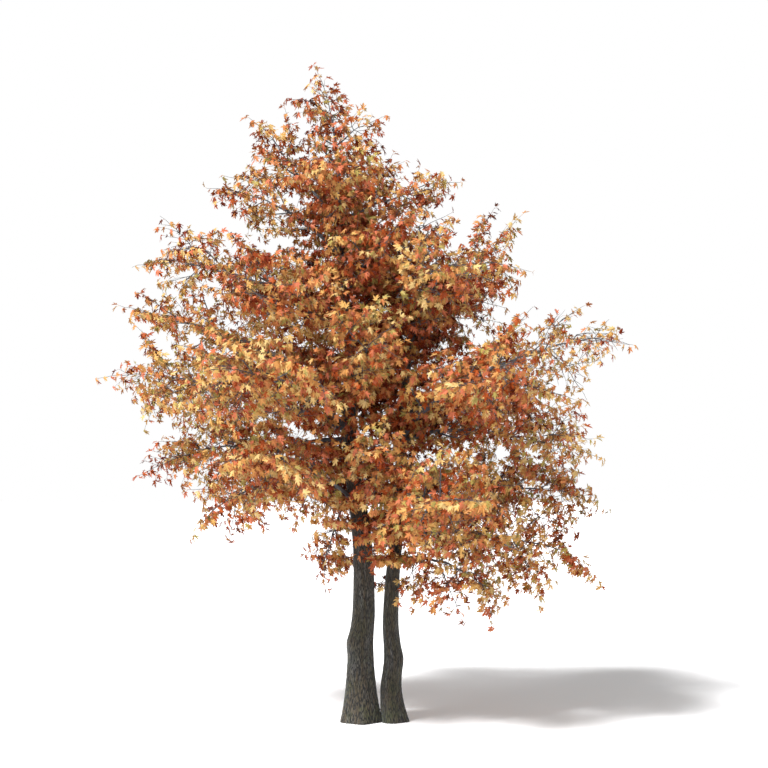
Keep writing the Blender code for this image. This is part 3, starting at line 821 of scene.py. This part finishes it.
class Crown:
    """Tells whose space a point is in, and how near it is to a limb."""

    def __init__(self, branches):
        self.names = [branch.name for branch in branches]
        leaders = []
        wood = []
        for k, branch in enumerate(branches):
            for share in np.linspace(0, 1, 8):
                centre = branch.at(branch.bare + (1 - branch.bare) * share)
                leaders.append((*centre, branch.spread + SPRAY_LENGTH / 2, k))
            for t in np.arange(0, branch.bare, 0.04 / branch.length):
                wood.append((*branch.at(t), branch.radius_at(t)))
        for stem in STEMS.values():
            for height in np.arange(0, stem.top, 0.05):
                wood.append((*course_at(stem, height), stem_radius(stem, height)))
        leaders = np.array(leaders)
        wood = np.array(wood)
        self.centres, self.widths, self.owners = leaders[:, :3], leaders[:, 3], leaders[:, 4]
        self.wood, self.radii = wood[:, :3], wood[:, 3]

    def off_wood(self, points):
        """True if every point is clear of the limbs and the stems."""
        return (distances(points, self.wood) - self.radii).min() > LIMB_MARGIN

    def has_room(self, name, points):
        """True if every point is off the wood, and nearer to this mass's leader than to any other,
        for the widths of their masses."""
        if not self.off_wood(points):
            return False
        away = distances(points, self.centres) / self.widths
        own = self.owners == self.names.index(name)
        return bool((away[:, own].min(1) + SPACE_MARGIN < away[:, ~own].min(1)).all())


# Shoots: the distance between their nodes, their share of a spray's length, the share of what is
# left of the shoot that a side shoot takes, if that is more than this, and how far they fork off
NODE_SPACING = 0.077
SHOOT_SHARE = 0.90
SIDE_SHOOT_SHARE = 0.55
SIDE_SHOOT_FROM = 0.24
SIDE_SHOOT_LENGTHS = (0.85, 1.15)
SHOOT_FORK = 47
FORK_STRAY = 8
LEAF_FORK_STRAYS = (-12, 16)
# How thick a shoot is, and the shares of that at its tip, in a side shoot and in a short one
SHOOT_RADIUS = 0.0064
SHOOT_TIP_SHARE = 0.35
SIDE_SHOOT_GIRTH = 0.7
SHORT_SHOOT_GIRTH = 0.8
# How far a twig bends, and a shoot's share of that at each node
SHOOT_BEND = 0.05
NODE_BEND = 0.3
# How much thinner a side twig is than its leader where it leaves it
TWIG_SHARE = 0.7
# Short shoots: how far apart their pairs leave a limb, a side twig and a stem, how long they are,
# how far they fork off, and how their turns and slopes vary
FILL_SPACING = 0.22
TWIG_FILL_SPACING = 0.36
STEM_FILL_SPACING = 0.08
FILL_LENGTHS = (0.24, 0.52)
STEM_FILL_LENGTHS = (0.30, 0.95)
FILL_FORK = 58
FILL_TURN_STRAY = 25
STEM_FILL_TURN_STRAY = 15
STEM_FILL_SLOPES = (0, 40)
# The shares of a short shoot at which it must be clear of the limbs
CLEAR_SHARES = (0.6, 0.9, 1.2)
# The lowest short shoot on each stem, and how far up from there they stand thin
LOWEST_SHOOTS = {LEFT: 1.50, RIGHT: 1.65}
THIN_STRETCH = 1.9
GOLDEN_ANGLE = 137.5
# A few limbs that stand out in the wind keep only this share of their leaves
THIN_LIMBS = {
    "right_long": 0.34, "right_high": 0.70, "right_crown": 0.55, "front_high_right": 0.80,
    "front_middle_right": 0.85, "left_high": 0.60, "left_middle": 0.80, "left_lower": 0.85,
    "left_upper": 0.80, "left_crown": 0.78, "left_drooping": 0.85,
}
# Leaves: how their stalks droop, how they face up, and out from the middle of the crown, how
# much they stray, how far out a leaf must be clear of the stems, and their sizes
STALK_DROOP = 0.42
FACE_UP = 0.6
FACE_OUT = 0.5
FACE_STRAY = 0.30
CROWN_MIDDLE_X = 0.15
LEAF_REACH = 0.12
STEM_CLEARANCE = 0.015
LEAF_SIZES = (0.82, 1.22)
# The row of autumn tints, from the first to turn to the last, and where in it the masses stand
TINTS = (
    ("olive", "#A08E4C", "leaves_gold"),
    ("straw", "#CDAC70", "leaves_gold"),
    ("gold", "#C49856", "leaves_gold"),
    ("amber", "#B88046", "leaves_gold"),
    ("orange", "#B47040", "leaves_orange"),
    ("copper", "#B86646", "leaves_orange"),
    ("rust", "#A04A1E", "leaves_orange"),
    ("red", "#883A14", "leaves_red"),
    ("crimson", "#70260E", "leaves_red"),
    ("maroon", "#502406", "leaves_red"),
)
MASS_TINTS = {"gold": 2.2, "orange": 2.6, "red": 3.3}
# Tints drift through the crown, in patches to a metre, and are redder and darker in its middle
# than at its outside, this far out: partly the leaves' own colour, partly painted shade of the
# crown's core. Each spray, shoot and leaf also strays
TINT_PATCHES = 0.9
TINT_DRIFT = 0.8
INNER_TINT_AND_SHADE = 1.8
CROWN_REACH = 3.2
SPRAY_STRAY = 1.2
SHOOT_STRAY = 1.7
LEAF_STRAY = 1.6
Leaf = namedtuple("Leaf", "place way face size tint")


class Growth:
    """The twigs, shoots and leaves grown so far."""

    def __init__(self):
        self.twigs = Wood()
        self.shoots = Wood()
        self.leaves = []
        self.leafy = 1.0

    def pair(self, point, way, across, tint, draw):
        """Two leaves opposite each other."""
        for side in (-1, 1):
            out = swung(way, across * side, SHOOT_FORK + draw.uniform(*LEAF_FORK_STRAYS))
            self.leaf(point, out - UP * STALK_DROOP, tint, draw)

    def leaf(self, point, way, tint, draw):
        """A leaf with its stalk one way and its blade facing up and out. tint is its shoot's place
        in the row of tints."""
        if draw.random() > self.leafy or not clear_of_stems(point + way * LEAF_REACH):
            return
        away = Vector((point.x - CROWN_MIDDLE_X, point.y, 0))
        stray = Vector([draw.gauss(0, FACE_STRAY) for _ in range(3)])
        face = UP * FACE_UP + away.normalized() * FACE_OUT + stray
        size = draw.uniform(*LEAF_SIZES)
        self.leaves.append(Leaf(point, way, face, size, leaf_tint(tint, draw)))

    def shoot(self, start, way, face, length, radius, tint, draw):
        """A shoot with leaves or side shoots in pairs at every other node, one leaf at each node
        between, and one at its tip."""
        nodes = max(2, round(length / NODE_SPACING))
        path = [start]
        for k in range(1, nodes + 1):
            share = k / nodes
            stray = Vector([draw.uniform(-1, 1) for _ in range(3)])
            stray *= SHOOT_BEND * length * NODE_BEND
            path.append(start + (way * share - face * SAG * share**2) * length + stray)
        radii = [radius * (1 - (1 - SHOOT_TIP_SHARE) * k / nodes) for k in range(nodes + 1)]
        self.shoots.add(path, radii)
        for k in range(1, nodes + 1):
            here = (path[k] - path[k - 1]).normalized()
            across = here.cross(face).normalized()
            left = length * (1 - k / nodes)
            if k % 2 and left > SIDE_SHOOT_FROM:
                for side in (-1, 1):
                    fork = SHOOT_FORK + draw.uniform(-FORK_STRAY, FORK_STRAY)
                    out = swung(here, across * side, fork)
                    size = left * SIDE_SHOOT_SHARE * draw.uniform(*SIDE_SHOOT_LENGTHS)
                    own = tint + draw.gauss(0, SHOOT_STRAY)
                    thin = radius * SIDE_SHOOT_GIRTH
                    self.shoot(path[k], out, face, size, thin, own, draw)
            elif k % 2:
                self.pair(path[k], here, across, tint, draw)
            else:
                over = across.cross(here) * draw.choice((-1, 1))
                self.leaf(path[k], here + over, tint, draw)
        self.leaf(path[-1], here, tint, draw)


def clear_of_stems(point):
    """True if a point is outside both stems."""
    for stem in STEMS.values():
        if point.z < stem.top:
            axis = course_at(stem, point.z)
            if (point - axis).length < stem_radius(stem, point.z) + STEM_CLEARANCE:
                return False
    return True


def spray_tint(branch, place, draw):
    """Where a spray stands in the row of tints, by its mass and its place in the crown. Towards
    the middle of the crown it moves to darker reds, partly as painted shade.
    """
    drift = noise.noise(place * TINT_PATCHES) * TINT_DRIFT
    # Darker reds towards the crown's middle: partly the leaves' own colour, partly painted shade
    depth = 1 - math.hypot(place.x - CROWN_MIDDLE_X, place.y) / CROWN_REACH
    return MASS_TINTS[branch.tint] + drift + depth * INNER_TINT_AND_SHADE + draw.gauss(0, SPRAY_STRAY)


def leaf_tint(tint, draw):
    """The tint of one leaf of a shoot, by its number in the row."""
    last = len(TINTS) - 1
    return last - abs(last - abs(round(draw.gauss(tint, LEAF_STRAY))))


def short_shoot(growth, branch, crown, start, way, draw, lengths=FILL_LENGTHS):
    """A short leafy shoot, where no limb is in its way."""
    length = draw.uniform(*lengths)
    if crown.off_wood([start + way * (length * share) for share in CLEAR_SHARES]):
        flat = (UP - way * way.z * 0.9).normalized()
        tint = spray_tint(branch, start, draw)
        radius = SHOOT_RADIUS * SHORT_SHOOT_GIRTH
        growth.shoot(start, way, flat, length, radius, tint, draw)


def fill(growth, branch, crown, path, spacing, draw):
    """Short shoots in opposite pairs along a path, each pair turned a quarter from the last."""
    pairs = round(path_length(path) / spacing)
    for pair in range(pairs):
        share = (pair + 0.5) / pairs
        start = along_path(path, share)
        along = along_path(path, min(share + 0.05, 1)) - along_path(path, share - 0.05)
        along.normalize()
        across = along.cross(UP).normalized()
        over = across.cross(along)
        turn = 90 * (pair % 2) + draw.uniform(-FILL_TURN_STRAY, FILL_TURN_STRAY)
        fork = FILL_FORK + draw.uniform(-FORK_STRAY, FORK_STRAY)
        for side in (0, 180):
            way = swung(along, swung(across, over, turn + side), fork)
            short_shoot(growth, branch, crown, start, way, draw)


def shoots_on_stem(growth, name, branch, crown):
    """Short shoots up a stem, each a golden angle round from the last."""
    stem = STEMS[name]
    growth.leafy = 1.0
    draw = random.Random(name + " shoots")
    count = round((stem.top - LOWEST_SHOOTS[name]) / STEM_FILL_SPACING * 2)
    for k in range(count):
        height = LOWEST_SHOOTS[name] + k * STEM_FILL_SPACING / 2
        if draw.random() > (height - LOWEST_SHOOTS[name]) / THIN_STRETCH:
            continue
        heading = GOLDEN_ANGLE * k + draw.uniform(-STEM_FILL_TURN_STRAY, STEM_FILL_TURN_STRAY)
        way = sloped(heading, draw.uniform(*STEM_FILL_SLOPES))
        start = course_at(stem, height) + way * stem_radius(stem, height) * 0.8
        short_shoot(growth, branch, crown, start, way, draw, STEM_FILL_LENGTHS)


def grow_mass(growth, branch, crown):
    """The twigs, shoots and leaves of one mass, and the short shoots of its bough."""
    draw = random.Random(branch.name + " shoots")
    growth.leafy = 1.0
    if branch.bare:
        bough = [bezier(branch.controls, branch.bare * k / 4) for k in range(1, 5)]
        fill(growth, branch, crown, bough, FILL_SPACING, draw)
    growth.leafy = THIN_LIMBS.get(branch.name, 1.0)
    fill(growth, branch, crown, branch.leader, FILL_SPACING, draw)
    for branchlet in branchlets(branch, crown):
        bend = (branchlet.fork - branchlet.root).length * SHOOT_BEND
        middle = branchlet.root.lerp(branchlet.fork, 0.5) + UP * draw.uniform(-bend, bend)
        path = [branchlet.root, middle, branchlet.fork]
        shares = [k / 20 for k in range(21)]
        share = min(shares, key=lambda t: (branch.at(t) - branchlet.root).length)
        radius = max(branch.radius_at(share) * TWIG_SHARE, TWIG_RADIUS)
        growth.twigs.add(path, [radius, (radius + TWIG_RADIUS) / 2, TWIG_RADIUS])
        fill(growth, branch, crown, path, TWIG_FILL_SPACING, draw)
        for way, face, length in branchlet.sprays:
            tint = spray_tint(branch, branchlet.fork, draw)
            length *= SHOOT_SHARE
            growth.shoot(branchlet.fork, way, face, length, SHOOT_RADIUS, tint, draw)


crown = Crown(branches)
growth = Growth()
for branch in branches:
    grow_mass(growth, branch, crown)
for name, branch in zip(STEMS, branches[-2:]):
    shoots_on_stem(growth, name, branch, crown)
young_bark = smooth_bark_material("bark of shoots", "#2B2526", "#645E60")
for name, lines, sides, skin in (
    ("side_twigs", growth.twigs, 6, grey_bark),
    ("shoots", growth.shoots, 3, young_bark),
):
    wood = wood_piece(name, lines, sides, skin)
    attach(wood, "root")
    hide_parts(*masses)

# Leaves
# Thin autumn leaves with five pointed lobes, each on a stalk and slightly folded along its ribs.
# They hang from the shoots and face up and out. Each spray has turned its own mix of colours,
# from olive and gold to dark red, darker and redder in the middle of the crown, partly as painted
# shade.

LEAF_LENGTH = 0.087
STALK_LENGTH = 0.042
STALK_WIDTH = 0.003
# One half of a blade's outline, from its base to its tip, as shares of its length
HALF_LEAF = (
    (0.10, -0.05), (0.37, 0.02), (0.17, 0.16), (0.35, 0.36), (0.48, 0.67), (0.12, 0.42),
    (0.16, 0.70), (0.0, 1.0),
)
RIB_MIDDLE = (0.0, 0.2)
# Leaves of four shapes: how far the blade is pitched down, how steeply its halves rise from the
# rib, and how far its rim curls down
LEAF_PITCHES = (20, 42, 62, 85)
LEAF_FOLDS = (0.5, -0.25, 0.35, -0.45)
LEAF_CURL = 0.16


def leaf_shape(name, pitch, fold):
    """A leaf whose stalk starts at the origin and runs along +Y. Its blade faces +Z, is pitched
    down from the stalk and folded along its rib."""
    outline = [(0.0, 0.0), *HALF_LEAF, *[(-x, y) for x, y in HALF_LEAF[-2::-1]]]
    flat = [RIB_MIDDLE, *outline]
    turn = math.radians(pitch)
    points = []
    for x, y in flat:
        up = fold * abs(x) - LEAF_CURL * (x * x + y * y)
        along = y * math.cos(turn) + up * math.sin(turn)
        rise = up * math.cos(turn) - y * math.sin(turn)
        points.append((x * LEAF_LENGTH, STALK_LENGTH + along * LEAF_LENGTH, rise * LEAF_LENGTH))
    count = len(outline)
    faces = [(0, k + 1, (k + 1) % count + 1) for k in range(count)]
    first = len(points)
    half = STALK_WIDTH / 2
    for y in (0.0, STALK_LENGTH):
        points += [(-half, y, -half), (half, y, -half), (0.0, y, half)]
    for k in range(3):
        after = (k + 1) % 3
        faces.append((first + k, first + after, first + 3 + after, first + 3 + k))
    mesh = bpy.data.meshes.new(name)
    mesh.from_pydata(points, [], faces)
    return bpy.data.objects.new(name, mesh)


def leaves_on_points():
    """The tree that hangs a leaf at each point, of the shape, turn and size that it says."""
    tree = new_tree("leaves on points", {"Shapes": "Collection", "Tint": "Material"})
    given = node(tree, "NodeGroupInput").outputs
    shapes = node(
        tree, "GeometryNodeCollectionInfo",
        {"Collection": given["Shapes"], "Separate Children": True, "Reset Children": True},
    )
    turn = attribute(tree, "turn", "FLOAT_VECTOR")
    hung = node(
        tree, "GeometryNodeInstanceOnPoints",
        {
            "Points": given["Geometry"],
            "Instance": shapes.outputs[0],
            "Pick Instance": True,
            "Instance Index": attribute(tree, "shape", "INT"),
            "Rotation": node(tree, "FunctionNodeEulerToRotation", {0: turn}).outputs[0],
            "Scale": attribute(tree, "size", "FLOAT"),
        },
    )
    finished(tree, hung.outputs[0], given["Tint"], smooth=False)
    return tree


def leaf_points(name, leaves, draw):
    """The points that leaves hang at."""
    mesh = bpy.data.meshes.new(name)
    mesh.from_pydata([tuple(leaf.place) for leaf in leaves], [], [])
    turns = []
    for leaf in leaves:
        way = leaf.way.normalized()
        across = way.cross(leaf.face).normalized()
        turns += Matrix((across, way, across.cross(way))).transposed().to_euler()
    store(mesh, "turn", "FLOAT_VECTOR", turns)
    store(mesh, "size", "FLOAT", [leaf.size for leaf in leaves])
    store(mesh, "shape", "INT", [draw.randrange(len(LEAF_PITCHES)) for _ in leaves])
    return mesh


def leaf_material(name, colour):
    """One autumn tint: a thin leaf with a satin upper side."""
    inputs = {"Base Color": srgb(colour), "Roughness": 0.5, "Specular IOR Level": 0.15}
    return new_material(name, inputs)[0]


shapes = bpy.data.collections.new("leaf shapes")
for k, (pitch, fold) in enumerate(zip(LEAF_PITCHES, LEAF_FOLDS)):
    shapes.objects.link(leaf_shape(f"leaf_shape_{k}", pitch, fold))
tree = leaves_on_points()
draw = random.Random("leaves")
for k, (name, colour, slot) in enumerate(TINTS):
    chosen = [leaf for leaf in growth.leaves if leaf.tint == k]
    piece = put(name + "_leaves", leaf_points(name, chosen, draw))
    grown(piece, tree, {"Shapes": shapes, "Tint": leaf_material(name, colour)})
    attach(piece, "root")
    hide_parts(*masses)
for shape in list(shapes.objects):
    bpy.data.objects.remove(shape)
bpy.data.collections.remove(shapes)

# Ground, light and view
# A wide pale floor that glows faintly, painted light that lightens the shadow on it, white all
# round, one soft light from the upper left and the front, and the view from 20 m away.

EYE = Vector((0.31, -20.0, 3.6))
LOOKED_AT = Vector((0.31, 0.0, 4.56))
LENS = 68.7
LIGHT_WAY = Vector((0.47, 0.43, -0.77))
FLOOR_REACH = 90.0
# The white around is this bright as light, and this much brighter to the eye
SKY_LIGHT = 0.26
SKY_GLARE = 0.74

floor_mesh = bpy.data.meshes.new("floor")
rim = [(x * FLOOR_REACH, y * FLOOR_REACH, 0) for x, y in ((-1, -1), (1, -1), (1, 1), (-1, 1))]
floor_mesh.from_pydata(rim, [], [(0, 1, 2, 3)])
# The floor glows faintly: painted light that lightens the tree's shadow on it
painted_glow = {"Emission Color": (1, 0.99, 0.98, 1), "Emission Strength": 0.20}
floor_colour = {"Base Color": (0.94, 0.94, 0.95, 1), "Roughness": 0.9}
floor_mesh.materials.append(new_material("pale floor", {**floor_colour, **painted_glow})[0])
put("floor", floor_mesh)

world = bpy.data.worlds.new("white all round")
world.use_nodes = True
tree = world.node_tree
seen = node(tree, "ShaderNodeLightPath").outputs["Is Camera Ray"]
strength = number_math(tree, "MULTIPLY_ADD", seen, SKY_GLARE, SKY_LIGHT)
give(tree, tree.nodes["Background"], {"Color": (1, 1, 1, 1), "Strength": strength})
bpy.context.scene.world = world
bpy.context.scene.view_settings.view_transform = "Standard"

sun = bpy.data.lights.new("soft light", "SUN")
sun.energy = 6.0
sun.angle = math.radians(11)
lamp = bpy.data.objects.new("soft light", sun)
lamp.rotation_euler = LIGHT_WAY.to_track_quat("-Z", "Y").to_euler()
bpy.context.scene.collection.objects.link(lamp)

camera_data = bpy.data.cameras.new("camera")
camera_data.lens = LENS
camera = bpy.data.objects.new("camera", camera_data)
camera.location = EYE
camera.rotation_euler = (LOOKED_AT - EYE).to_track_quat("-Z", "Y").to_euler()
bpy.context.scene.collection.objects.link(camera)
bpy.context.scene.camera = camera
